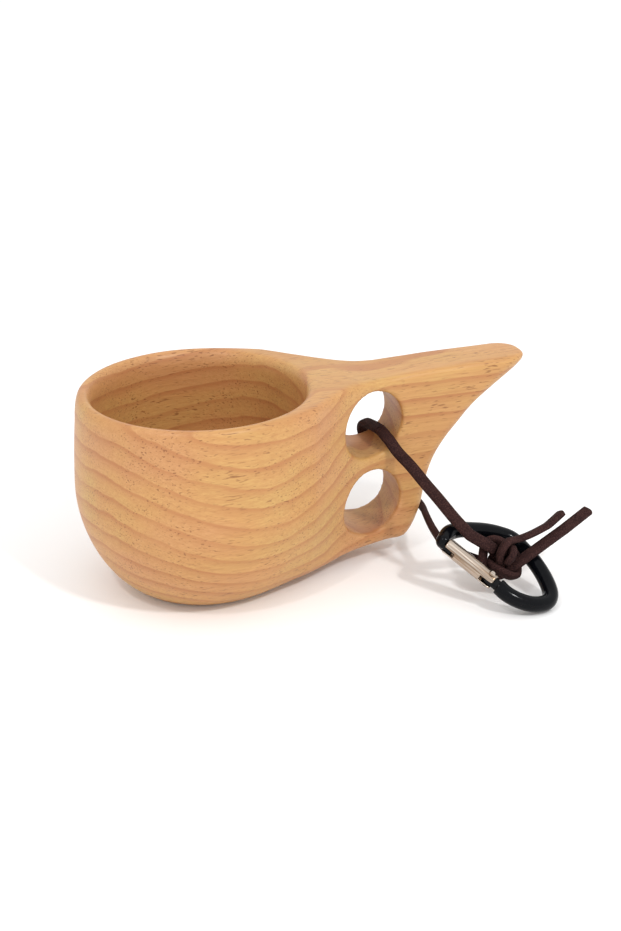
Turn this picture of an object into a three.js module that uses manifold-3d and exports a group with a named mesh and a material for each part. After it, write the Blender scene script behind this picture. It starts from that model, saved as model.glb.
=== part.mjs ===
// Wooden kuksa cup with a leather lanyard and a small snap carabiner.
// Millimetres, +Z up. Origin: centre of the bowl's flat base. +X: along the handle.
import * as THREE from 'three';
import { mergeVertices } from 'three/addons/utils/BufferGeometryUtils.js';
import Module from 'manifold-3d';

// Bowl: a solid of revolution about Z, given by two Bezier curves (radius, height).
const CUP_HEIGHT = 68.4;
const BOWL_LOWER = [[15, -1.6], [31.6, -0.4], [41.5, 21.0], [41.5, 36.2]];
const BOWL_UPPER = [[41.5, 36.2], [41.4, 45.2], [40.9, 52.2], [40.3, 59.2]];
const RIM_OUTER = [[40.3, 59.2], [40.1, 64.7], [39.5, 67.4], [38.0, 68.6]];

// Hollow of the bowl: Bezier curves from the middle of the floor to the rounded rim.
const HOLLOW_LOWER = [[0, 4.8], [22, 4.8], [36.0, 16.2], [36.0, 38.2]];
const HOLLOW_UPPER = [[36.0, 38.2], [36.0, 48.2], [35.1, 58.2], [34.8, 63.2]];
const RIM_INNER = [[34.8, 63.2], [34.9, 65.8], [35.6, 67.8], [37.2, 68.6]];
const HOLLOW_LID_Z = 80;

// Handle: the end of the plate at each height, (height, x), and its half thickness.
const HANDLE_END = [
  [-3, 20], [2, 28], [4.6, 36], [5.2, 46], [5.9, 58], [6.3, 70], [8.0, 72.6], [12.7, 75.4],
  [18.7, 77.4], [24.5, 78.4], [30.2, 79.8], [35.8, 82.1], [41.4, 85.8], [46.6, 90.2],
  [52.2, 95.0], [57.2, 102.0], [61.8, 109.5], [64.4, 113.2], [67.4, 115.4], [72.2, 116.2],
];
const HANDLE_HALF_MIDDLE = [[30, 19], [45, 14.2], [57, 11.0], [66, 8.9], [75, 8.1], [117, 7.8]];
const HANDLE_HALF_TOP = [
  [30, 24], [38, 18.6], [45, 15.3], [57, 11.8], [64, 10.5], [77, 10.1], [112, 9.0],
];
const HANDLE_FLARE_FROM = 43.2;
const HANDLE_FLARE_OVER = 25;
const HANDLE_EDGE_ROUND = 3.6;
const TIP_EDGE_ROUND = 8.0;
const TIP_ROUND_FROM = 94;
const TIP_ROUND_OVER = 18;
const HANDLE_BLEND = 20;
const TOP_EDGE_ROUND = 2.4;
const BASE_EDGE_ROUND = 1.2;

// Two finger holes through the plate, along Y.
const HOLE_RADIUS = 11.75;
const HOLE_X = 56.6;
const HOLE_UPPER_Z = 51.7;
const HOLE_LOWER_Z = 23.2;
const HOLE_CUTTER_Y = 30;

// Carabiner: its own axes in the row frame, and its size in those axes.
const CARABINER_AT = [69.46, -40.07, 20.62];
const CARABINER_ALONG = [0.5765, -0.6631, -0.4775];
const CARABINER_ACROSS = [0.7935, 0.5938, 0.1333];
const BAR_RADIUS = 2.65;
const BAR_PATH = [
  [0.5, 4.6], [0.9, 6.8], [2.3, 9.8], [4.8, 13.0], [8.3, 16.9], [12.5, 20.2], [17.3, 22.2],
  [25.0, 20.9], [30.8, 18.6], [35.9, 15.3], [38.8, 11.9], [39.2, 8.0], [36.6, 3.7], [32.5, 0.9],
  [28.0, -0.4], [24.2, 0],
];
const NOSE_TIP = [1.3, 0.6];
const BAR_STEPS = 60;
const BAR_SIDES = 12;

// Snap gate and its hinge, latch, spring and plunger, along the carabiner's own axis.
const GATE_RADIUS = 2.7;
const GATE_FROM = 2.4;
const GATE_SWEEP = 17.7;
const NOSE_SWEEP = 18.0;
const NOSE_REACH = 8;
const HINGE_AT = 20.5;
const GATE_END = 22.4;
const GATE_CUT = 6;
const SLOT_HALF = 1.05;
const TONGUE_HALF = 0.8;
const NOSE_SLOT_TO = 7.0;
const NOSE_TONGUE_TO = 5.7;
const NOSE_TONGUE_HALF_WIDTH = 1.9;
const NOSE_NOTCH_HALF = 0.95;
const LATCH_AT = 4.3;
const LATCH_RADIUS = 0.6;
const LATCH_HALF_LENGTH = 1.75;
const HINGE_SLOT_FROM = 17.8;
const HINGE_EYE_RADIUS = 1.9;
const HINGE_BORE = 0.8;
const PIN_CLEARANCE = 0.06;
const RIVET_RADIUS = 0.75;
const RIVET_HEAD_RADIUS = 1.2;
const RIVET_HEAD_FROM = 2.76;
const RIVET_HEAD_TO = 3.25;
const SPRING_BORE = 1.1;
const SPRING_BORE_FROM = 9.4;
const PLUNGER_RADIUS = 1.0;
const PLUNGER_FROM = 15.6;
const PLUNGER_TO = 18.45;
const SPRING_WIRE = 0.18;
const SPRING_MEAN = 0.8;
const SPRING_FROM = 9.8;
const SPRING_TO = 15.0;
const SPRING_TURNS = 6;
const SPRING_STEPS = 60;

// Leather lace: round stand-in tubes along the lace's own middle line.
const LACE_RADIUS = 1.3;
const LACE_SIDES = 8;
const LOOP_STEPS = 56;
const TAIL_STEPS = 8;
const LACE_LOOP = [
  [82.4, -42.6, 17.3], [80.4, -42.0, 19.9], [78.7, -41.0, 22.2], [77.3, -39.4, 24.0],
  [75.1, -36.9, 26.9], [72.6, -31.2, 30.8], [69.9, -25.2, 34.7], [67.4, -19, 38.6],
  [65.2, -13.0, 42.4], [63.6, -9.4, 45.2], [62.6, -3, 46.2], [62.2, 5, 45.2], [61.8, 10.6, 43.8],
  [62.8, 13.2, 38.6], [67.4, 12.6, 30.6], [74.4, 11.0, 21.6], [79.0, 7, 16.6], [80.4, 0.5, 14.9],
  [78.4, -7.5, 15.4], [76.5, -14, 15.3], [75.6, -20, 14.8], [74.9, -26.5, 14.5],
  [74.7, -31.4, 13.4], [76.4, -35.2, 12.8], [79.4, -37.7, 12.9], [82.6, -39.4, 13.2],
];
const KNOT_AT = [89.7, -46.4, 13.7];
const KNOT_HALF = [8.2, 5.6, 5.2];
const TAIL_A = [
  [97.3, -48.2, 18.1], [101.8, -46.0, 19.8], [107.8, -43.0, 21.6], [113.5, -40, 23.2],
];
const TAIL_B = [
  [98.7, -50.6, 15.9], [104.1, -48.0, 17.2], [113.6, -44, 19.8], [123.7, -40, 22.8],
];

// Mesh fineness.
const BEZIER_STEPS = 7;
const LATHE_SIDES = 56;
const HOLE_SIDES = 36;
const PIN_SIDES = 16;
const SWEEP_SIDES = 72;
const WIRE_SIDES = 6;
const HALF_TURN_ANGLES = [
  0, 2, 3.6, 4.8, 5.8, 6.8, 8, 9.2, 10.6, 12.2, 14.2, 17, 20.5, 25, 31, 39, 49, 60, 72, 84, 96,
  108, 120, 132, 144, 156, 168, 180,
];
const LEVELS = [
  0, 0.6, 1.6, 3.2, 4.6, 5.6, 6.2, 6.8, 8.4, 12, 17, 22.5, 29, 36, 43, 49, 54, 58, 61.6, 64, 66,
  67.4, 68.1, 68.4,
];
const FARTHEST_X = 130;
const BISECTIONS = 26;
const OVERSHOOT = 0.4;
const SKIN = 0.02;

const wasm = await Module();
wasm.setup();

const solids = {};

function toSolid(geometry) {
  const bare = geometry.clone();
  bare.deleteAttribute('normal');
  bare.deleteAttribute('uv');
  const merged = mergeVertices(bare);
  const vertProperties = new Float32Array(merged.attributes.position.array);
  const triVerts = new Uint32Array(merged.index.array);
  return new wasm.Manifold(new wasm.Mesh({ numProp: 3, vertProperties, triVerts }));
}

function toGeometry(solid) {
  const mesh = solid.getMesh();
  const geometry = new THREE.BufferGeometry();
  geometry.setAttribute('position', new THREE.BufferAttribute(mesh.vertProperties, mesh.numProp));
  geometry.setIndex(new THREE.BufferAttribute(mesh.triVerts, 1));
  geometry.computeVertexNormals();
  return geometry;
}

function bezier(points, t) {
  const u = 1 - t;
  const weights = [u * u * u, 3 * u * u * t, 3 * u * t * t, t * t * t];
  return [0, 1].map((k) => weights.reduce((sum, w, i) => sum + w * points[i][k], 0));
}

function chain(curves) {
  const points = [bezier(curves[0], 0)];
  for (const curve of curves) {
    for (let i = 1; i <= BEZIER_STEPS; i += 1) {
      points.push(bezier(curve, i / BEZIER_STEPS));
    }
  }
  return points;
}

function lookUp(table, at) {
  if (at <= table[0][0]) {
    return table[0][1];
  }
  for (let i = 1; i < table.length; i += 1) {
    const [x0, y0] = table[i - 1];
    const [x1, y1] = table[i];
    if (at <= x1) {
      return y0 + ((y1 - y0) * (at - x0)) / (x1 - x0);
    }
  }
  return table[table.length - 1][1];
}

// A blend of two distances: their intersection with a round edge, or a filleted union.
function roundIntersection(a, b, radius) {
  const p = Math.max(a + radius, 0);
  const q = Math.max(b + radius, 0);
  return Math.min(Math.max(a, b) + radius, 0) + Math.hypot(p, q) - radius;
}

function filletedUnion(a, b, size) {
  const h = Math.max(size - Math.abs(a - b), 0) / size;
  return Math.min(a, b) - (h * h * size) / 4;
}

const bowlOutline = chain([BOWL_LOWER, BOWL_UPPER, RIM_OUTER]).map(([r, z]) => [z, r]);

function handleHalfThickness(x, z) {
  const s = THREE.MathUtils.smoothstep(z, HANDLE_FLARE_FROM, HANDLE_FLARE_FROM + HANDLE_FLARE_OVER);
  return THREE.MathUtils.lerp(lookUp(HANDLE_HALF_MIDDLE, x), lookUp(HANDLE_HALF_TOP, x), s);
}

// Negative inside the wood, positive outside it.
function cupField(x, y, z) {
  const bowl = Math.hypot(x, y) - lookUp(bowlOutline, z);
  const side = Math.abs(y) - handleHalfThickness(x, z);
  const ends = Math.max(x - lookUp(HANDLE_END, z), -x);
  const tip = THREE.MathUtils.clamp((x - TIP_ROUND_FROM) / TIP_ROUND_OVER, 0, 1);
  const edgeRound = THREE.MathUtils.lerp(HANDLE_EDGE_ROUND, TIP_EDGE_ROUND, tip);
  const plate = roundIntersection(ends, side, edgeRound);
  const plateTop = roundIntersection(plate, z - CUP_HEIGHT, TOP_EDGE_ROUND);
  const body = filletedUnion(bowl, plateTop, HANDLE_BLEND);
  return roundIntersection(body, -z, BASE_EDGE_ROUND);
}

// How far the wood reaches from the bowl's axis at one angle and one level.
function reachAt(angle, level) {
  const z = THREE.MathUtils.clamp(level, SKIN, CUP_HEIGHT - SKIN);
  const c = Math.cos(angle);
  const s = Math.sin(angle);
  let inside = 0;
  let outside = FARTHEST_X;
  for (let i = 0; i < BISECTIONS; i += 1) {
    const middle = (inside + outside) / 2;
    if (cupField(middle * c, middle * s, z) < 0) {
      inside = middle;
    } else {
      outside = middle;
    }
  }
  return inside;
}

// Outside of the cup: level outlines stacked from the base to the rim, capped at both ends.
function cupBlank() {
  const left = HALF_TURN_ANGLES.slice(1, -1).map((a) => 360 - a).reverse();
  const angles = [...HALF_TURN_ANGLES, ...left].map(THREE.MathUtils.degToRad);
  const count = angles.length;
  const positions = [];
  for (const z of LEVELS) {
    for (const angle of angles) {
      const reach = reachAt(angle, z);
      positions.push(reach * Math.cos(angle), reach * Math.sin(angle), z);
    }
  }
  const index = [];
  for (let k = 0; k + 1 < LEVELS.length; k += 1) {
    for (let i = 0; i < count; i += 1) {
      const a = k * count + i;
      const b = k * count + ((i + 1) % count);
      index.push(a, b, b + count, a, b + count, a + count);
    }
  }
  const bottom = positions.length / 3;
  positions.push(0, 0, LEVELS[0]);
  const top = bottom + 1;
  positions.push(0, 0, LEVELS[LEVELS.length - 1]);
  const last = (LEVELS.length - 1) * count;
  for (let i = 0; i < count; i += 1) {
    const next = (i + 1) % count;
    index.push(bottom, next, i);
    index.push(top, last + i, last + next);
  }
  const geometry = new THREE.BufferGeometry();
  geometry.setAttribute('position', new THREE.Float32BufferAttribute(positions, 3));
  geometry.setIndex(index);
  return geometry;
}

// A lathe about Z from (radius, height) points that start and end on the axis.
function lathe(profile, sides) {
  const points = profile.map(([r, z]) => new THREE.Vector2(r, z));
  const geometry = new THREE.LatheGeometry(points, sides);
  geometry.rotateX(Math.PI / 2);
  return geometry;
}

function bowlHollow() {
  const curve = chain([HOLLOW_LOWER, HOLLOW_UPPER, RIM_INNER]);
  const rim = curve[curve.length - 1];
  return lathe([...curve, [rim[0], HOLLOW_LID_Z], [0, HOLLOW_LID_Z]], LATHE_SIDES);
}

function holeCutter(z) {
  const geometry = lathe([
    [0, -HOLE_CUTTER_Y], [HOLE_RADIUS, -HOLE_CUTTER_Y], [HOLE_RADIUS, HOLE_CUTTER_Y], [0, HOLE_CUTTER_Y],
  ], HOLE_SIDES);
  geometry.rotateX(Math.PI / 2);
  geometry.translate(HOLE_X, 0, z);
  return geometry;
}

solids.cup_body = toSolid(cupBlank())
  .subtract(toSolid(bowlHollow()))
  .subtract(toSolid(holeCutter(HOLE_UPPER_Z)))
  .subtract(toSolid(holeCutter(HOLE_LOWER_Z)));

// The carabiner is built in its own axes: X along the gate, Y across, Z out of its plane.
const along = new THREE.Vector3(...CARABINER_ALONG).normalize();
const normal = new THREE.Vector3().crossVectors(along, new THREE.Vector3(...CARABINER_ACROSS));
normal.normalize();
const across = new THREE.Vector3().crossVectors(normal, along);
const carabinerPlace = new THREE.Matrix4().makeBasis(along, across, normal);
carabinerPlace.setPosition(...CARABINER_AT);

function tube(points, radius, sides, steps) {
  const curve = new THREE.CatmullRomCurve3(points);
  const section = new THREE.Shape();
  for (let i = 0; i < sides; i += 1) {
    const angle = (2 * Math.PI * i) / sides;
    const x = radius * Math.cos(angle);
    const y = radius * Math.sin(angle);
    if (i === 0) {
      section.moveTo(x, y);
    } else {
      section.lineTo(x, y);
    }
  }
  section.closePath();
  return new THREE.ExtrudeGeometry(section, { steps, extrudePath: curve, bevelEnabled: false });
}

function block(x0, x1, y0, y1, z0, z1) {
  const geometry = new THREE.BoxGeometry(x1 - x0, y1 - y0, z1 - z0);
  geometry.translate((x0 + x1) / 2, (y0 + y1) / 2, (z0 + z1) / 2);
  return geometry;
}

// A round pin about Z at (x, y), and a round rod along X.
function pinAt(x, radius, z0, z1, sides = PIN_SIDES) {
  const geometry = lathe([[0, z0], [radius, z0], [radius, z1], [0, z1]], sides);
  geometry.translate(x, 0, 0);
  return geometry;
}

function rod(radius, x0, x1, sides = PIN_SIDES) {
  const geometry = lathe([[0, x0], [radius, x0], [radius, x1], [0, x1]], sides);
  geometry.rotateY(Math.PI / 2);
  return geometry;
}

function ballAt([x, y], radius) {
  return toSolid(new THREE.SphereGeometry(radius, BAR_SIDES, BAR_SIDES / 2).translate(x, y, 0));
}

// A disc about the hinge axis, cut off past the nose: what the gate's end sweeps through.
function noseSweep() {
  return toSolid(pinAt(HINGE_AT, NOSE_SWEEP, -GATE_CUT, GATE_CUT, SWEEP_SIDES))
    .intersect(toSolid(block(-GATE_CUT, NOSE_REACH, -GATE_CUT, NOSE_REACH, -GATE_CUT, GATE_CUT)));
}

function carabinerFrame() {
  const path = BAR_PATH.map(([a, b]) => new THREE.Vector3(a, b, 0));
  const nose = [path[0], new THREE.Vector3(...NOSE_TIP, 0)];
  const shoulder = path[path.length - 1].x;
  const noseTongue = block(NOSE_TIP[0], NOSE_TONGUE_TO, -NOSE_TONGUE_HALF_WIDTH,
    NOSE_TONGUE_HALF_WIDTH, -TONGUE_HALF, TONGUE_HALF);
  const notch = block(LATCH_AT - NOSE_NOTCH_HALF, LATCH_AT + NOSE_NOTCH_HALF, -NOSE_NOTCH_HALF,
    BAR_RADIUS, -BAR_RADIUS, BAR_RADIUS);
  const hingeTongue = toSolid(block(HINGE_AT, shoulder + OVERSHOOT, -HINGE_EYE_RADIUS,
    HINGE_EYE_RADIUS, -TONGUE_HALF, TONGUE_HALF))
    .add(toSolid(pinAt(HINGE_AT, HINGE_EYE_RADIUS, -TONGUE_HALF, TONGUE_HALF)));
  const bore = pinAt(HINGE_AT, HINGE_BORE, -BAR_RADIUS, BAR_RADIUS);
  return toSolid(tube(path, BAR_RADIUS, BAR_SIDES, BAR_STEPS))
    .add(toSolid(tube(nose, BAR_RADIUS, BAR_SIDES, 1)))
    .add(ballAt(BAR_PATH[0], BAR_RADIUS))
    .add(ballAt(NOSE_TIP, BAR_RADIUS))
    .subtract(noseSweep())
    .add(toSolid(noseTongue).subtract(toSolid(notch)))
    .add(hingeTongue.subtract(toSolid(bore)));
}

function gate() {
  const noseSlot = block(GATE_FROM - OVERSHOOT, NOSE_SLOT_TO, -GATE_CUT, GATE_CUT, -SLOT_HALF,
    SLOT_HALF);
  const hingeSlot = block(HINGE_SLOT_FROM, GATE_END + OVERSHOOT, -GATE_CUT, GATE_CUT, -SLOT_HALF,
    SLOT_HALF);
  const heel = toSolid(pinAt(HINGE_AT, GATE_RADIUS, -GATE_CUT, GATE_CUT, HOLE_SIDES))
    .add(toSolid(block(-GATE_END, HINGE_AT, -GATE_CUT, GATE_CUT, -GATE_CUT, GATE_CUT)));
  const latchBore = pinAt(LATCH_AT, LATCH_RADIUS + PIN_CLEARANCE, -LATCH_HALF_LENGTH - PIN_CLEARANCE,
    LATCH_HALF_LENGTH + PIN_CLEARANCE);
  const sweep = pinAt(HINGE_AT, GATE_SWEEP, -GATE_CUT, GATE_CUT, SWEEP_SIDES);
  return toSolid(rod(GATE_RADIUS, GATE_FROM, GATE_END, HOLE_SIDES))
    .intersect(heel)
    .intersect(toSolid(sweep))
    .subtract(toSolid(noseSlot))
    .subtract(toSolid(hingeSlot))
    .subtract(toSolid(rod(SPRING_BORE, SPRING_BORE_FROM, HINGE_SLOT_FROM + OVERSHOOT)))
    .subtract(toSolid(pinAt(HINGE_AT, HINGE_BORE, -GATE_CUT, GATE_CUT)))
    .subtract(toSolid(latchBore));
}

function hingeRivet() {
  return lathe([
    [0, -RIVET_HEAD_TO], [RIVET_RADIUS, -RIVET_HEAD_TO], [RIVET_HEAD_RADIUS, -RIVET_HEAD_FROM],
    [RIVET_RADIUS, -RIVET_HEAD_FROM], [RIVET_RADIUS, RIVET_HEAD_FROM],
    [RIVET_HEAD_RADIUS, RIVET_HEAD_FROM], [RIVET_RADIUS, RIVET_HEAD_TO], [0, RIVET_HEAD_TO],
  ], PIN_SIDES).translate(HINGE_AT, 0, 0);
}

function spring() {
  const points = [];
  for (let i = 0; i <= SPRING_STEPS; i += 1) {
    const t = i / SPRING_STEPS;
    const turn = 2 * Math.PI * SPRING_TURNS * t;
    const x = THREE.MathUtils.lerp(SPRING_FROM, SPRING_TO, t);
    points.push(new THREE.Vector3(x, SPRING_MEAN * Math.cos(turn), SPRING_MEAN * Math.sin(turn)));
  }
  return tube(points, SPRING_WIRE, WIRE_SIDES, SPRING_STEPS);
}

solids.carabiner_frame = carabinerFrame();
solids.carabiner_gate = gate();
solids.gate_hinge_rivet = toSolid(hingeRivet());
solids.gate_latch_pin = toSolid(pinAt(LATCH_AT, LATCH_RADIUS, -LATCH_HALF_LENGTH, LATCH_HALF_LENGTH));
solids.gate_plunger = toSolid(rod(PLUNGER_RADIUS, PLUNGER_FROM, PLUNGER_TO));
solids.gate_spring = toSolid(spring());

function lace(points, steps) {
  return tube(points.map((p) => new THREE.Vector3(...p)), LACE_RADIUS, LACE_SIDES, steps);
}

function knot() {
  const geometry = new THREE.SphereGeometry(1, PIN_SIDES, PIN_SIDES / 2);
  geometry.scale(...KNOT_HALF);
  geometry.applyMatrix4(new THREE.Matrix4().makeBasis(along, across, normal));
  geometry.translate(...KNOT_AT);
  return geometry;
}

solids.lace_loop = toSolid(lace(LACE_LOOP, LOOP_STEPS));
solids.lace_knot = toSolid(knot());
solids.lace_tail_a = toSolid(lace(TAIL_A, TAIL_STEPS));
solids.lace_tail_b = toSolid(lace(TAIL_B, TAIL_STEPS));

const materials = {
  wood: new THREE.MeshStandardMaterial({ name: 'wood', color: 0xd9a866, roughness: 0.5 }),
  leather: new THREE.MeshStandardMaterial({ name: 'leather', color: 0x37211f, roughness: 0.8 }),
  black_metal: new THREE.MeshStandardMaterial({
    name: 'black_metal', color: 0x0c0d10, metalness: 0.8, roughness: 0.25,
  }),
  bright_metal: new THREE.MeshStandardMaterial({
    name: 'bright_metal', color: 0xc8c8ca, metalness: 1, roughness: 0.25,
  }),
};
const nodeMaterial = {
  cup_body: 'wood',
  lace_loop: 'leather',
  lace_knot: 'leather',
  lace_tail_a: 'leather',
  lace_tail_b: 'leather',
  carabiner_frame: 'black_metal',
  carabiner_gate: 'bright_metal',
  gate_hinge_rivet: 'bright_metal',
  gate_latch_pin: 'bright_metal',
  gate_spring: 'bright_metal',
  gate_plunger: 'bright_metal',
};
const inCarabiner = new Set([
  'carabiner_frame', 'carabiner_gate', 'gate_hinge_rivet', 'gate_latch_pin', 'gate_spring',
  'gate_plunger',
]);

const part = new THREE.Group();
part.name = 'kuksa_cup';
for (const [name, solid] of Object.entries(solids)) {
  const geometry = toGeometry(solid);
  if (inCarabiner.has(name)) {
    geometry.applyMatrix4(carabinerPlace);
  }
  const mesh = new THREE.Mesh(geometry, materials[nodeMaterial[name]]);
  mesh.name = name;
  part.add(mesh);
}

export default part;
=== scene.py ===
"""Wooden kuksa cup with a leather lanyard and a snap carabiner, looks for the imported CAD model.

Lengths are in millimetres here and turn into metres where a mesh is made.
"""
import math

import bpy
import numpy as np
import openvdb
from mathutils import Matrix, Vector


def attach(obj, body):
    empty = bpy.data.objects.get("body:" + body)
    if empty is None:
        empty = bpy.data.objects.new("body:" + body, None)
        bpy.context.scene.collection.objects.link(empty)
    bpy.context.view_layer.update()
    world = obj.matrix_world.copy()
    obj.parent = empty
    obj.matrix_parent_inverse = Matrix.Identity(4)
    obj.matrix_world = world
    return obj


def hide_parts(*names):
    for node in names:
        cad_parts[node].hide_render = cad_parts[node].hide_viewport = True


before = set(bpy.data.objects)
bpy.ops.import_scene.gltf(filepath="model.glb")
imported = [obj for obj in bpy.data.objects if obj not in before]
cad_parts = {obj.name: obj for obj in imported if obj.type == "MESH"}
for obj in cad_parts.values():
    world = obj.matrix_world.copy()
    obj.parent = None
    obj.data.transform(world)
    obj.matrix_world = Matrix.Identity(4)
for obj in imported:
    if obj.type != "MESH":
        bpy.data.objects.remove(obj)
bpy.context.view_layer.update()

MM = 0.001

# Camera, in the row frame.
CAMERA_AT = (-125.88, -470.87, 251.66)
CAMERA_YAW = math.radians(19.25)
CAMERA_PITCH = math.radians(23.47)
CAMERA_SENSOR = 36.0
CAMERA_FOCUS = 61.87

# Cup: one solid of revolution, one plate, and the cutters, as in the CAD model. Unlike there,
# the handle's top dips and rises a little, and the rim and the hole mouths have rounded edges.
CUP_HEIGHT = 68.4
CUP_STEP = 0.8
BOWL_LOWER = ((15, -1.6), (31.6, -0.4), (41.5, 21.0), (41.5, 36.2))
BOWL_UPPER = ((41.5, 36.2), (41.4, 45.2), (40.9, 52.2), (40.3, 59.2))
RIM_OUTER = ((40.3, 59.2), (40.1, 64.7), (39.5, 67.4), (38.0, 68.6))
HOLLOW_LOWER = ((0, 4.8), (22, 4.8), (36, 16.2), (36, 38.2))
HOLLOW_UPPER = ((36, 38.2), (36, 48.2), (35.1, 58.2), (34.8, 63.2))
RIM_INNER = ((34.8, 63.2), (34.9, 65.8), (35.6, 67.8), (37.2, 68.6))
ABOVE_CUP = 93.2
BOWL_LID_RADIUS = 37.9
BOWL_LOWEST = -2.0
HOLLOW_LID_RADIUS = 37.3
HOLLOW_LOWEST = 4.8
PAST_AXIS = -20.0
HANDLE_OUTLINE = (
    (0, 18.2), (20, 11.7), (36, 6.2), (45, 5.6), (51, 5.8), (57, 6.0), (63, 6.2), (69.6, 6.1),
    (72.6, 8.0), (75.4, 12.7), (77.4, 18.7), (78.4, 24.5), (79.8, 30.2), (82.1, 35.8),
    (85.8, 41.4), (90.2, 46.6), (95.0, 52.2), (102.0, 57.2), (109.5, 61.8), (113.2, 64.4),
    (115.4, 67.4), (116.2, 72.2),
)
HALF_MIDDLE = ((30, 19), (45, 14.2), (57, 11.0), (66, 8.9), (75, 8.1), (90, 8.0), (117, 7.8))
HALF_TOP = ((30, 24), (38, 18.6), (45, 15.3), (57, 11.8), (64, 10.5), (77, 10.1), (112, 9.0))
FLARE_FROM = 43.2
FLARE_OVER = 25.0
HANDLE_EDGE_ROUND = 3.6
TIP_EDGE_ROUND = 8.0
TIP_ROUND_FROM = 94.0
TIP_ROUND_OVER = 18.0
PLATE_TAPER = 0.97
HANDLE_BLEND = 20.0
TOP_EDGE_ROUND = 2.6
TOP_DIP = 0.8
TOP_DIP_AT = 60.0
TOP_DIP_OVER = 13.0
TOP_RISE = 0.9
TOP_RISE_FROM = 75.0
TOP_RISE_OVER = 40.0
BASE_EDGE_ROUND = 1.2
RIM_EDGE_ROUND = 0.8
MOUTH_ROUND = 0.9
HOLE_RADIUS = 11.75
HOLE_X = 56.6
HOLE_LEVELS = (51.7, 23.2)

# Growth rings of the wood: their gap, and where they stop curving with the bowl.
RING_GAP = 6.6
RING_BOWL_TO = 36.0
WOOD_TINT = (0.87, 0.94, 0.83, 1.0)

# Carabiner axes, and its parts along its own axis.
CARABINER_AT = (69.46, -40.07, 20.62)
CARABINER_ALONG = (0.5765, -0.6631, -0.4775)
CARABINER_ACROSS = (0.7935, 0.5938, 0.1333)
BAR_RADIUS = 2.65
BAR_PATH = (
    (1.3, 0.6), (0.5, 4.6), (0.9, 6.8), (2.3, 9.8), (4.8, 13.0), (8.3, 16.9), (12.5, 20.2),
    (17.3, 22.2), (25.0, 20.9), (30.8, 18.6), (35.9, 15.3), (38.8, 11.9), (39.2, 8.0),
    (36.6, 3.7), (32.5, 0.9), (28.0, -0.4), (24.2, 0),
)
CARABINER_STEP = 0.22
BAR_EDGE_ROUND = 0.3
GATE_EDGE_ROUND = 0.35
GATE_SLOT_ROUND = 0.2
GATE_RADIUS = 2.7
GATE_FROM = 2.4
GATE_SWEEP = 17.7
NOSE_SWEEP = 18.0
GATE_END = 22.4
HINGE_AT = 20.5
SLOT_HALF = 1.05
TONGUE_HALF = 0.8
NOSE_SLOT_TO = 7.0
NOSE_TONGUE_TO = 5.7
NOSE_TONGUE_HALF_WIDTH = 1.9
NOSE_NOTCH_HALF = 0.95
LATCH_AT = 4.3
HINGE_SLOT_FROM = 17.8
HINGE_EYE_RADIUS = 1.9
HINGE_BORE = 0.8

# Leather lace: the route of the loop from the knot, up the front, through the upper hole,
# round the edge of the plate and back to the knot, then the two tails. The points beside the
# gate stand a little further out than in the CAD model, so that the open gate clears the lace.
LACE_WIDTH = 3.9
LACE_THICK = 2.4
LACE_LOOP = (
    (82.1, -43.5, 17.7), (79.7, -44.1, 20.9), (78.0, -42.9, 23.1), (76.9, -40.4, 24.5),
    (75.1, -36.9, 26.9), (72.6, -31.2, 30.8), (69.9, -25.2, 34.7), (67.4, -19, 38.6),
    (65.2, -13.0, 41.4), (63.6, -9.4, 44.4), (62.6, -3, 46.2), (62.2, 5, 45.2),
    (61.8, 10.6, 43.8), (62.8, 13.2, 38.6), (67.4, 12.6, 30.6), (74.4, 11.0, 21.6),
    (79.0, 7, 15.2), (80.4, 0.5, 13.3), (78.4, -7.5, 14.2), (76.5, -14, 15.3), (75.6, -20, 14.8),
    (74.9, -26.5, 14.5), (74.7, -31.4, 13.4), (76.4, -35.2, 12.8), (79.4, -37.7, 12.9),
    (82.6, -39.4, 13.2),
)
HOLE_POINT = 10
TAIL_A = ((97.3, -48.2, 18.1), (101.8, -46.0, 19.8), (107.8, -43.0, 21.6), (113.5, -40, 23.2))
TAIL_B = ((98.7, -50.6, 15.9), (104.1, -48.0, 17.2), (113.6, -44, 19.8), (123.7, -40, 22.8))

# Knot: the doubled overhand knot starts loose, on a trefoil curve, and is pulled tight.
KNOT_AT = (91.0, -42.7, 16.4)
KNOT_ALONG = (1, -0.5, -0.1)
KNOT_TOWARDS = (0.2, -0.75, 0.6)
KNOT_REACH = 1.95
KNOT_LOOSE = 3.0
KNOT_SIDE = 1.6
KNOT_POINTS = 90
KNOT_STEPS = 800
KNOT_BEND = 0.25
KNOT_TIGHT = (82.0, 88.0)
KNOT_GAP = 3.1
KNOT_SKIP = 4.6
BACK_TWIST = math.radians(90)
TWIST_OVER = 60.0
LACE_STEP = 0.4
LACE_SIDES = 24
LACE_SQUARENESS = 3.2
LACE_EASING_PASSES = 6


def make_camera():
    forward = Vector((
        math.sin(CAMERA_YAW) * math.cos(CAMERA_PITCH),
        math.cos(CAMERA_YAW) * math.cos(CAMERA_PITCH),
        -math.sin(CAMERA_PITCH),
    ))
    camera = bpy.data.objects.new("camera", bpy.data.cameras.new("camera"))
    camera.data.sensor_fit = "VERTICAL"
    camera.data.sensor_height = CAMERA_SENSOR
    camera.data.lens = CAMERA_FOCUS
    camera.location = Vector(CAMERA_AT) * MM
    camera.rotation_mode = "QUATERNION"
    camera.rotation_quaternion = forward.to_track_quat("-Z", "Y")
    bpy.context.scene.collection.objects.link(camera)
    bpy.context.scene.camera = camera


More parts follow.
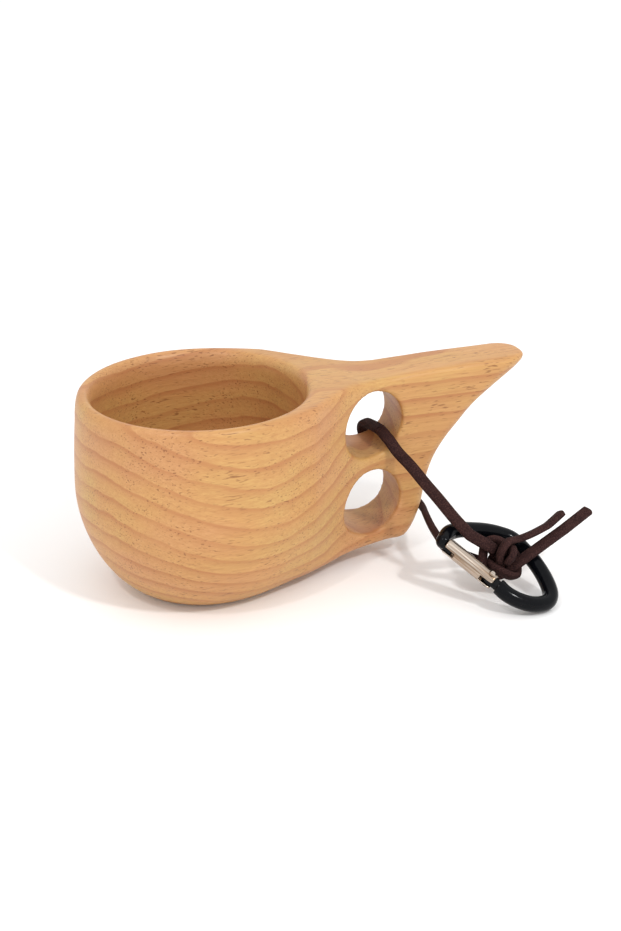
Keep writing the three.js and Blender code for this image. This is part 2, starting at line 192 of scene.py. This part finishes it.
def add_mesh(name, points, faces, material, body):
    """A smooth mesh piece from points in millimetres."""
    mesh = bpy.data.meshes.new(name)
    mesh.from_pydata((np.asarray(points, float) * MM).tolist(), [], [list(f) for f in faces])
    mesh.update()
    mesh.polygons.foreach_set("use_smooth", [True] * len(mesh.polygons))
    mesh.materials.append(material)
    piece = bpy.data.objects.new(name, mesh)
    bpy.context.scene.collection.objects.link(piece)
    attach(piece, body)
    return piece


# Curves and signed distances.
def bezier(points, count=24):
    t = np.linspace(0, 1, count)[:, None]
    a, b, c, d = np.array(points, float)
    return (1 - t) ** 3 * a + 3 * (1 - t) ** 2 * t * b + 3 * (1 - t) * t * t * c + t ** 3 * d


def smooth_line(points, per_span):
    """Catmull-Rom through the points."""
    points = np.array(points, float)
    padded = np.concatenate([points[:1], points, points[-1:]])
    spans = []
    for p0, p1, p2, p3 in zip(padded, padded[1:], padded[2:], padded[3:]):
        t = np.linspace(0, 1, per_span, endpoint=False)[:, None]
        cubic = -p0 + 3 * p1 - 3 * p2 + p3
        spans.append(0.5 * (2 * p1 + (p2 - p0) * t + (2 * p0 - 5 * p1 + 4 * p2 - p3) * t * t
                            + cubic * t ** 3))
    return np.concatenate([*spans, points[-1:]])


def polygon_distance(outline, x, z):
    """Signed distance to a closed outline, negative inside."""
    nearest = np.full(x.shape, np.inf)
    inside = np.zeros(x.shape, bool)
    for a, b in zip(outline, np.roll(outline, -1, axis=0)):
        edge = b - a
        from_x, from_z = x - a[0], z - a[1]
        t = np.clip((from_x * edge[0] + from_z * edge[1]) / max(edge @ edge, 1e-12), 0, 1)
        nearest = np.minimum(nearest, np.hypot(from_x - t * edge[0], from_z - t * edge[1]))
        if b[1] != a[1]:
            crossing = a[0] + edge[0] * (z - a[1]) / edge[1]
            inside ^= ((a[1] > z) != (b[1] > z)) & (x < crossing)
    return np.where(inside, -nearest, nearest)


def round_both(a, b, radius):
    """Intersection of two distances with a round edge."""
    a, b = a + radius, b + radius
    return np.minimum(np.maximum(a, b), 0) + np.hypot(np.maximum(a, 0), np.maximum(b, 0)) - radius


def fillet_either(a, b, size):
    """Union of two distances with a fillet."""
    h = np.maximum(size - np.abs(a - b), 0) / size
    return np.minimum(a, b) - h * h * size / 4


def field_mesh(field, low, step):
    """Quads on the zero level of a field sampled on a grid."""
    grid = openvdb.FloatGrid(background=5.0)
    grid.copyFromArray(field.astype(np.float32))
    grid.transform = openvdb.createLinearTransform(voxelSize=step)
    points, quads = grid.convertToQuads(0.0)
    return points + np.array(low), quads


# Cup.
def revolved_distance(outline, radius, levels):
    """Distance to a solid of revolution about Z, looked up from its half section."""
    steps = np.arange(0, 150, 0.5)
    r, z = np.meshgrid(steps, levels, indexing="ij")
    section = polygon_distance(outline, r, z)
    return np.stack([np.interp(radius, steps, section[:, k]) for k in range(len(levels))], 2)


def bowl_outline(curves, last_radius, lowest):
    curve = np.concatenate([bezier(c) for c in curves])
    lid = [[last_radius, ABOVE_CUP], [PAST_AXIS, ABOVE_CUP], [PAST_AXIS, lowest]]
    return np.concatenate([curve, lid])


def half_thickness(x, z):
    middle = np.interp(x, *np.transpose(HALF_MIDDLE))
    top = np.interp(x, *np.transpose(HALF_TOP))
    share = np.clip((z - FLARE_FROM) / FLARE_OVER, 0, 1)
    return middle + (top - middle) * share * share * (3 - 2 * share)


def cup_field(xs, ys, zs):
    x2, z2 = np.meshgrid(xs, zs, indexing="ij")
    curve = smooth_line(HANDLE_OUTLINE, 5)
    outline = np.concatenate([[[0, ABOVE_CUP]], curve, [[curve[-1, 0], ABOVE_CUP]]])
    side = polygon_distance(outline, x2, z2)[:, None, :]
    x, y, z = xs[:, None, None], ys[None, :, None], zs[None, None, :]
    radius = np.hypot(xs[:, None], ys[None, :])
    outer = bowl_outline((BOWL_LOWER, BOWL_UPPER, RIM_OUTER), BOWL_LID_RADIUS, BOWL_LOWEST)
    inner = bowl_outline((HOLLOW_LOWER, HOLLOW_UPPER, RIM_INNER), HOLLOW_LID_RADIUS, HOLLOW_LOWEST)
    bowl = revolved_distance(outer, radius, zs)
    hollow = revolved_distance(inner, radius, zs)
    dip = TOP_DIP * np.exp(-((x - TOP_DIP_AT) / TOP_DIP_OVER) ** 2)
    top = CUP_HEIGHT - dip + TOP_RISE * np.clip((x - TOP_RISE_FROM) / TOP_RISE_OVER, 0, 1)
    tip = np.clip((x - TIP_ROUND_FROM) / TIP_ROUND_OVER, 0, 1)
    edge_round = HANDLE_EDGE_ROUND + (TIP_EDGE_ROUND - HANDLE_EDGE_ROUND) * tip
    plate = round_both(side, (np.abs(y) - half_thickness(x, z)) * PLATE_TAPER, edge_round)
    body = fillet_either(bowl, round_both(plate, z - top, TOP_EDGE_ROUND), HANDLE_BLEND)
    body = round_both(body, z - top, BASE_EDGE_ROUND)
    body = round_both(body, -z, BASE_EDGE_ROUND)
    body = round_both(body, -hollow, RIM_EDGE_ROUND)
    for level in HOLE_LEVELS:
        body = round_both(body, HOLE_RADIUS - np.hypot(x - HOLE_X, z - level), MOUTH_ROUND)
    return body


def make_cup(material):
    low, high = (-44.0, -44.0, -2.4), (119.0, 44.0, 72.0)
    xs, ys, zs = (np.arange(a, b, CUP_STEP) for a, b in zip(low, high))
    points, quads = field_mesh(cup_field(xs, ys, zs), low, CUP_STEP)
    cup = add_mesh("wooden_cup", points, quads, material, "cup")
    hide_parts("cup_body")
    return cup


# Materials.
class Nodes:
    """Short calls that add shader nodes to one material."""

    def __init__(self, name):
        self.material = bpy.data.materials.new(name)
        self.material.use_nodes = True
        self.tree = self.material.node_tree
        self.shader = self.tree.nodes["Principled BSDF"]

    def add(self, kind, inputs=None, **settings):
        node = self.tree.nodes.new(kind)
        for key, value in settings.items():
            setattr(node, key, value)
        for key, value in (inputs or {}).items():
            if isinstance(value, bpy.types.NodeSocket):
                self.tree.links.new(value, node.inputs[key])
            else:
                node.inputs[key].default_value = value
        return node

    def math(self, operation, a, b=0.0, c=0.0, clamp=False):
        node = self.add("ShaderNodeMath", {0: a, 1: b, 2: c}, operation=operation, use_clamp=clamp)
        return node.outputs[0]

    def noise(self, vector, scale, detail=2.0, roughness=0.5):
        node = self.add("ShaderNodeTexNoise", {
            "Vector": vector, "Scale": scale, "Detail": detail, "Roughness": roughness})
        return node.outputs["Fac"]

    def stretch(self, vector, scale, shift=(0, 0, 0)):
        node = self.add("ShaderNodeMapping", {"Vector": vector, "Scale": scale, "Location": shift})
        return node.outputs["Vector"]

    def ramp(self, value, *stops):
        """A smooth ramp of one value from (place, value) stops."""
        node = self.add("ShaderNodeValToRGB", {"Fac": value})
        elements = node.color_ramp.elements
        while len(elements) < len(stops):
            elements.new(0.5)
        for element, (place, level) in zip(elements, stops):
            element.position = place
            element.color = level if isinstance(level, tuple) else (level, level, level, 1)
        return node.outputs["Color"]

    def mix(self, share, a, b, blend="MIX"):
        node = self.add("ShaderNodeMix", data_type="RGBA", blend_type=blend)
        for socket, value in ((node.inputs[0], share), (node.inputs[6], a), (node.inputs[7], b)):
            if isinstance(value, bpy.types.NodeSocket):
                self.tree.links.new(value, socket)
            else:
                socket.default_value = value
        return node.outputs[2]

    def bump(self, height, strength, distance, normal=None):
        inputs = {"Height": height, "Strength": strength, "Distance": distance}
        if normal is not None:
            inputs["Normal"] = normal
        return self.add("ShaderNodeBump", inputs).outputs["Normal"]

    def set(self, **values):
        """Sets the shader's sockets, with _ for a space in their names."""
        for key, value in values.items():
            socket = self.shader.inputs[key.replace("_", " ")]
            if isinstance(value, bpy.types.NodeSocket):
                self.tree.links.new(value, socket)
            else:
                socket.default_value = value


def carabiner_axes():
    along = np.array(CARABINER_ALONG) / np.linalg.norm(CARABINER_ALONG)
    normal = np.cross(along, CARABINER_ACROSS)
    normal /= np.linalg.norm(normal)
    return np.stack([along, np.cross(normal, along), normal])


def srgb(r, g, b):
    """A linear colour from the 0 to 255 values that it shows as."""
    channels = [c / 255 for c in (r, g, b)]
    linear = [c / 12.92 if c <= 0.04045 else ((c + 0.055) / 1.055) ** 2.4 for c in channels]
    return (*linear, 1.0)


def wood_material():
    n = Nodes("honey_wood")
    place = n.add("ShaderNodeTexCoord").outputs["Object"]
    mm = n.stretch(place, (1000, 1000, 1000))
    axes = n.add("ShaderNodeSeparateXYZ", {0: mm}).outputs
    x, y, z = axes["X"], axes["Y"], axes["Z"]
    bowl_x = n.math("MINIMUM", x, RING_BOWL_TO)
    level = z
    for a, b, share in ((x, 1.0, 0.03), (bowl_x, bowl_x, 0.0031), (bowl_x, y, -0.0045),
                        (y, y, 0.008), (y, 1.0, -0.085)):
        level = n.math("MULTIPLY_ADD", n.math("MULTIPLY", a, b), share, level)
    slow = n.noise(n.stretch(mm, (0.012, 0.03, 0.03)), 1.0, 2.0)
    wavy = n.noise(n.stretch(mm, (0.05, 0.16, 0.16), (7, 3, 1)), 1.0, 2.0)
    level = n.math("MULTIPLY_ADD", slow, 8.0, level)
    level = n.math("MULTIPLY_ADD", wavy, 2.2, level)
    ring = n.math("FRACT", n.math("MULTIPLY", level, 1 / RING_GAP))
    late = n.ramp(ring, (0.0, 0.0), (0.4, 0.1), (0.7, 0.42), (0.88, 1.0), (0.95, 0.9),
                  (1.0, 0.0))
    thin_ring = n.math("FRACT", n.math("MULTIPLY", level, 2.7 / RING_GAP))
    thin = n.ramp(thin_ring, (0.0, 0.0), (0.7, 0.0), (0.88, 1.0), (1.0, 0.0))
    strength = n.noise(n.stretch(mm, (0.02, 0.07, 0.07), (4, 8, 2)), 1.0, 2.0)
    late = n.math("MULTIPLY", late, n.ramp(strength, (0.36, 0.6), (0.6, 1.0)))
    streaks = n.noise(n.stretch(mm, (0.02, 1.1, 1.1)), 1.0, 4.0, 0.6)
    fibres = n.noise(n.stretch(mm, (0.035, 3.4, 3.4)), 1.0, 3.0, 0.6)
    pore_noise = n.noise(n.stretch(mm, (0.32, 2.1, 2.1), (3, 9, 4)), 1.0, 1.0, 0.4)
    pore_field = n.noise(n.stretch(mm, (0.04, 0.14, 0.14), (5, 1, 8)), 1.0, 2.0)
    pores = n.math("MULTIPLY",
                   n.ramp(pore_noise, (0.61, 0.0), (0.7, 1.0)),
                   n.ramp(pore_field, (0.35, 0.2), (0.6, 1.0)))
    patches = n.noise(n.stretch(mm, (0.02, 0.05, 0.05), (2, 5, 9)), 1.0, 2.0)
    base = n.ramp(patches, (0.34, srgb(213, 166, 106)), (0.5, srgb(216, 160, 105)),
                  (0.66, srgb(215, 154, 109)))
    colour = n.mix(n.math("MULTIPLY", late, 0.78), base, srgb(182, 110, 72))
    colour = n.mix(n.math("MULTIPLY", thin, 0.16), colour, srgb(178, 112, 72))
    colour = n.mix(n.ramp(streaks, (0.36, 0.0), (0.72, 0.52)), colour, srgb(190, 128, 82))
    colour = n.mix(n.ramp(fibres, (0.35, 0.26), (0.68, 0.0)), colour, srgb(178, 116, 72))
    colour = n.mix(n.math("MULTIPLY", pores, 0.7), colour, srgb(126, 72, 42))
    colour = n.mix(1.0, colour, WOOD_TINT, "MULTIPLY")
    n.set(Base_Color=colour, Coat_Weight=0.1, Coat_Roughness=0.28, Specular_IOR_Level=0.35)
    n.set(Roughness=n.ramp(fibres, (0.3, 0.5), (0.7, 0.42)))
    pitted = n.bump(n.math("MULTIPLY", pores, -1.0), 0.4, 0.0001)
    n.set(Normal=n.bump(fibres, 0.08, 0.0001, pitted))
    return n.material


def leather_material():
    n = Nodes("dark_leather")
    place = n.add("ShaderNodeTexCoord").outputs["Object"]
    grain = n.noise(place, 2600.0, 4.0, 0.65)
    worn = n.noise(place, 260.0, 3.0)
    colour = n.mix(n.ramp(worn, (0.35, 0.0), (0.7, 1.0)), srgb(34, 18, 19), srgb(47, 28, 27))
    colour = n.mix(n.ramp(grain, (0.45, 0.0), (0.7, 0.6)), colour, srgb(92, 62, 56))
    n.set(Base_Color=colour, Roughness=0.85, Specular_IOR_Level=0.12)
    n.set(Normal=n.bump(grain, 0.5, 0.0002))
    return n.material


def black_metal():
    n = Nodes("black_lacquered_metal")
    place = n.add("ShaderNodeTexCoord").outputs["Object"]
    wear = n.noise(place, 900.0, 4.0, 0.6)
    n.set(Base_Color=n.ramp(wear, (0.3, srgb(6, 7, 10)), (0.8, srgb(12, 13, 17))),
          Roughness=n.ramp(wear, (0.3, 0.12), (0.8, 0.2)), Specular_IOR_Level=0.12)
    n.set(Normal=n.bump(wear, 0.03, 0.0001))
    return n.material


def bright_metal():
    n = Nodes("brushed_steel")
    place = n.add("ShaderNodeTexCoord").outputs["Object"]
    along, across, normal = carabiner_axes()
    parts = {}
    for key, axis, scale in (("X", along, 60.0), ("Y", across, 1500.0), ("Z", normal, 1500.0)):
        dot = n.add("ShaderNodeVectorMath", {0: place, 1: tuple(axis)}, operation="DOT_PRODUCT")
        parts[key] = n.math("MULTIPLY", dot.outputs["Value"], scale)
    brushed = n.noise(n.add("ShaderNodeCombineXYZ", parts).outputs[0], 1.0, 3.0, 0.6)
    n.set(Base_Color=n.ramp(brushed, (0.36, srgb(146, 122, 100)), (0.62, srgb(206, 194, 182))),
          Metallic=1.0, Roughness=n.ramp(brushed, (0.3, 0.2), (0.7, 0.28)))
    return n.material


# Lace.
def turned_along(line, first_normal):
    """Normals carried along a line without twisting."""
    tangents = np.gradient(line, axis=0)
    tangents /= np.linalg.norm(tangents, axis=1)[:, None]
    normal = np.array(first_normal, float)
    normals = []
    for tangent in tangents:
        normal = normal - (normal @ tangent) * tangent
        normal /= np.linalg.norm(normal)
        normals.append(normal)
    return tangents, np.array(normals)


def lace_mesh(line, first_normal, twist):
    """Points and faces of a flat lace with soft edges and cut ends, turned over a part way."""
    tangents, level = turned_along(line, first_normal)
    share = np.clip(np.arange(len(line)) * LACE_STEP / TWIST_OVER, 0, 1)[:, None]
    turn = twist * share * share * (3 - 2 * share)
    flat = np.cross(tangents, level)
    normals = level * np.cos(turn) + flat * np.sin(turn)
    sides = np.cross(tangents, normals)
    angles = np.linspace(0, 2 * math.pi, LACE_SIDES, endpoint=False)
    power = 2 / LACE_SQUARENESS
    c, s = np.cos(angles), np.sin(angles)
    across = np.sign(c) * np.abs(c) ** power * LACE_WIDTH / 2
    out = np.sign(s) * np.abs(s) ** power * LACE_THICK / 2
    rings = (line[:, None, :] + sides[:, None, :] * across[None, :, None]
             + normals[:, None, :] * out[None, :, None])
    count = len(angles)
    faces = []
    for i in range(len(line) - 1):
        for k in range(count):
            a, b = i * count + k, i * count + (k + 1) % count
            faces.append((a, b, b + count, a + count))
    faces.append(tuple(reversed(range(count))))
    last = (len(line) - 1) * count
    faces.append(tuple(range(last, last + count)))
    return rings.reshape(-1, 3), faces


def length_of(line):
    return float(np.linalg.norm(np.diff(line, axis=0), axis=1).sum())


def resampled(line, count):
    """The same line with that many points, evenly spaced."""
    return even(line, length_of(line) / (count - 1))


def even(line, step):
    """The same line with points a constant step apart."""
    along = np.concatenate([[0], np.cumsum(np.linalg.norm(np.diff(line, axis=0), axis=1))])
    at = np.linspace(0, along[-1], max(2, round(along[-1] / step) + 1))
    return np.stack([np.interp(at, along, line[:, k]) for k in range(3)], 1)


def eased(line):
    """The same line with its small corners smoothed, its ends kept."""
    line = line.copy()
    for _ in range(LACE_EASING_PASSES):
        line[1:-1] += ((line[:-2] + line[2:]) / 2 - line[1:-1]) / 2
    return line


def loose_knot(side, entry, leave):
    """One strand of a loose overhand knot, from two points of its entry to two where it leaves."""
    along = np.array(KNOT_ALONG, float)
    along /= np.linalg.norm(along)
    towards = np.array(KNOT_TOWARDS, float)
    towards -= (towards @ along) * along
    towards /= np.linalg.norm(towards)
    axes = np.stack([along, np.cross(towards, along), towards])
    t = np.linspace(-KNOT_REACH, KNOT_REACH, 60)
    curve = np.stack([t ** 3 - 3 * t, t ** 4 - 4 * t ** 2, (t ** 5 - 10 * t) / 6], 1)
    tangents = np.gradient(curve, axis=0)
    sideways = np.cross([0, 0, 1], tangents / np.linalg.norm(tangents, axis=1)[:, None])
    sideways /= np.linalg.norm(sideways, axis=1)[:, None]
    curve = curve * KNOT_LOOSE + sideways * side
    line = np.concatenate([entry, np.array(KNOT_AT) + curve @ axes, leave])
    return resampled(line, KNOT_POINTS)


def pulled_tight(strands):
    """Shortens the strands of a knot step by step while they keep their thickness apart."""
    count = len(strands[0])
    points = np.concatenate(strands)
    strand = np.repeat(np.arange(len(strands)), count)
    free = np.ones((len(strands), count), bool)
    free[:, :2] = free[:, -2:] = False
    weight = free.reshape(-1, 1).astype(float)
    joints = np.concatenate([k * count + np.arange(count - 1) for k in range(len(strands))])
    loose = np.array([length_of(line) for line in strands])[strand[joints]]
    tight = np.array(KNOT_TIGHT)[strand[joints]]
    first, second = np.triu_indices(len(points), 1)
    apart = np.where(strand[first] == strand[second], second - first, len(points))
    for step in range(KNOT_STEPS):
        share = min(1.0, step / (0.7 * KNOT_STEPS))
        rest = (loose + (tight - loose) * share) / (count - 1)
        for k in (*range(len(strands)), *range(len(strands))):
            line = points[k * count:(k + 1) * count]
            bend = (line[:-2] + line[2:]) / 2 - line[1:-1]
            line[1:-1] += KNOT_BEND * bend * weight[k * count + 1:(k + 1) * count - 1]
        pairs = apart > KNOT_SKIP / rest.mean()
        a, b = first[pairs], second[pairs]
        for _ in range(2):
            gap = points[a] - points[b]
            distance = np.linalg.norm(gap, axis=1)
            near = distance < KNOT_GAP
            push = gap[near] * (0.5 * (KNOT_GAP / distance[near] - 1))[:, None]
            moves = np.zeros_like(points)
            hits = np.zeros(len(points))
            for ends, sign in ((a[near], 1), (b[near], -1)):
                np.add.at(moves, ends, sign * push)
                np.add.at(hits, ends, 1)
            points += 1.4 * weight * moves / np.maximum(hits, 1)[:, None]
        for turn in range(12):
            at = joints[turn % 2::2]
            step_line = points[at + 1] - points[at]
            distance = np.linalg.norm(step_line, axis=1)
            pull = step_line * ((1 - rest[turn % 2::2] / distance) / 2)[:, None]
            total = np.maximum(weight[at] + weight[at + 1], 1)
            points[at] += 2 * pull * weight[at] / total
            points[at + 1] -= 2 * pull * weight[at + 1] / total
    return [points[k * count:(k + 1) * count] for k in range(len(strands))]


def make_lace(material):
    to_knot_a, to_knot_b = np.array(LACE_LOOP[2:0:-1]), np.array(LACE_LOOP[-3:-1])
    tail_a, tail_b = np.array(TAIL_A), np.array(TAIL_B)
    knot = pulled_tight([
        loose_knot(KNOT_SIDE, to_knot_a, tail_a[1:3]),
        loose_knot(-KNOT_SIDE, to_knot_b, tail_b[1:3]),
    ])
    front = [*LACE_LOOP[HOLE_POINT:2:-1], *knot[0], *TAIL_A[3:]]
    back = [*LACE_LOOP[HOLE_POINT:-3], *knot[1], *TAIL_B[3:]]
    for name, route, twist, exit_y, nodes in (
            ("lace_front", front, 0.0, -11.0, ("lace_tail_a", "lace_knot")),
            ("lace_back", back, BACK_TWIST, 11.0, ("lace_loop", "lace_tail_b"))):
        line = eased(even(smooth_line(route, 8), LACE_STEP))
        points, faces = lace_mesh(line, (-0.4, 0, 0.9), twist)
        piece = add_mesh(name, points, faces, material, "lanyard")
        for cut_end in (-1, -2):
            piece.data.polygons[cut_end].use_smooth = False
        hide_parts(*nodes)


# Carabiner.
def in_carabiner(points):
    """From the carabiner's own axes to the row frame."""
    return np.array(CARABINER_AT) + points @ carabiner_axes()


def box_distance(x, y, z, x0, x1, half_y, half_z):
    return np.maximum(np.maximum(np.abs(x - (x0 + x1) / 2) - (x1 - x0) / 2, np.abs(y) - half_y),
                      np.abs(z) - half_z)


def carabiner_grid(low, high):
    xs, ys, zs = (np.arange(a, b, CARABINER_STEP) for a, b in zip(low, high))
    return xs[:, None, None], ys[None, :, None], zs[None, None, :]


def make_carabiner_bar(material):
    low, high = (-4.5, -5.5, -3.3), (43.0, 27.0, 3.4)
    x, y, z = carabiner_grid(low, high)
    line = smooth_line(BAR_PATH, 8)
    flat = np.full((x.shape[0], y.shape[1], 1), np.inf)
    for a, b in zip(line, line[1:]):
        edge = b - a
        t = np.clip(((x - a[0]) * edge[0] + (y - a[1]) * edge[1]) / (edge @ edge), 0, 1)
        flat = np.minimum(flat, np.hypot(x - a[0] - t * edge[0], y - a[1] - t * edge[1]))
    bar = np.hypot(flat, z) - BAR_RADIUS
    to_hinge = np.hypot(x - HINGE_AT, y)
    nose_cut = np.where((x < HINGE_AT) & (y < 8), NOSE_SWEEP - to_hinge, -9.0)
    bar = round_both(bar, nose_cut, BAR_EDGE_ROUND)
    shoulder = BAR_PATH[-1][0]
    shoulder_cut = np.where((x > 15) & (y < 6), shoulder - x, -9.0)
    bar = round_both(bar, shoulder_cut, BAR_EDGE_ROUND)
    tongue = box_distance(x, y, z, BAR_PATH[0][0], NOSE_TONGUE_TO, NOSE_TONGUE_HALF_WIDTH,
                          TONGUE_HALF)
    notch = box_distance(x, y - 1.5, z, LATCH_AT - NOSE_NOTCH_HALF, LATCH_AT + NOSE_NOTCH_HALF,
                         1.5 + NOSE_NOTCH_HALF, 9.0)
    hinge = np.minimum(box_distance(x, y, z, HINGE_AT, shoulder + 0.5, HINGE_EYE_RADIUS,
                                    TONGUE_HALF),
                       np.maximum(to_hinge - HINGE_EYE_RADIUS, np.abs(z) - TONGUE_HALF))
    hinge = np.maximum(hinge, HINGE_BORE - to_hinge)
    field = np.minimum(np.minimum(bar, np.maximum(tongue, -notch)), hinge)
    points, quads = field_mesh(field, low, CARABINER_STEP)
    piece = add_mesh("carabiner_bar", in_carabiner(points), quads, material, "lanyard")
    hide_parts("carabiner_frame")


def make_gate(material):
    low, high = (1.4, -3.4, -3.4), (23.6, 3.5, 3.5)
    x, y, z = carabiner_grid(low, high)
    to_hinge = np.hypot(x - HINGE_AT, y)
    rod = np.hypot(y, z) - GATE_RADIUS
    ends = np.maximum(np.where(x > HINGE_AT, to_hinge - GATE_RADIUS, -9.0),
                      np.maximum(x - GATE_END, GATE_FROM - x))
    body = round_both(rod, ends, GATE_EDGE_ROUND)
    body = round_both(body, to_hinge - GATE_SWEEP, GATE_EDGE_ROUND)
    for x0, x1 in ((GATE_FROM - 3, NOSE_SLOT_TO), (HINGE_SLOT_FROM, GATE_END + 3)):
        slot = box_distance(x, y, z, x0, x1, 9.0, SLOT_HALF)
        body = round_both(body, -slot, GATE_SLOT_ROUND)
    body = np.maximum(body, HINGE_BORE - to_hinge)
    points, quads = field_mesh(body, low, CARABINER_STEP)
    piece = add_mesh("snap_gate", in_carabiner(points), quads, material, "gate")
    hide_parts("carabiner_gate")


def finish_cad_nodes(bright):
    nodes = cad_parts
    for name in ("gate_hinge_rivet", "gate_latch_pin", "gate_spring", "gate_plunger"):
        nodes[name].material_slots[0].material = bright


def make_floor():
    mesh = bpy.data.meshes.new("floor")
    reach = 3.0
    mesh.from_pydata([(-reach, -reach, 0), (reach, -reach, 0), (reach, reach, 0),
                      (-reach, reach, 0)], [], [(0, 1, 2, 3)])
    n = Nodes("floor")
    n.set(Base_Color=srgb(250, 250, 250), Roughness=0.9)
    mesh.materials.append(n.material)
    floor = bpy.data.objects.new("floor", mesh)
    bpy.context.scene.collection.objects.link(floor)


def make_lights():
    scene = bpy.context.scene
    scene.view_settings.view_transform = "Standard"
    world = bpy.data.worlds.new("studio")
    world.use_nodes = True
    world.node_tree.nodes["Background"].inputs["Color"].default_value = (1, 1, 1, 1)
    world.node_tree.nodes["Background"].inputs["Strength"].default_value = 1.05
    scene.world = world
    for name, place, size, power in (
            ("key", (0.35, -0.8, 0.95), 0.12, 5.0),
            ("glint", (-0.45, -0.4, 0.9), 0.06, 1.4)):
        data = bpy.data.lights.new(name, "AREA")
        data.shape = "DISK"
        data.size = size
        data.energy = power
        light = bpy.data.objects.new(name, data)
        light.location = place
        light.rotation_euler = (-Vector(place)).to_track_quat("-Z", "Y").to_euler()
        scene.collection.objects.link(light)


make_camera()
leather = leather_material()
make_lace(leather)
make_cup(wood_material())
make_carabiner_bar(black_metal())
steel = bright_metal()
make_gate(steel)
finish_cad_nodes(steel)
make_floor()
make_lights()
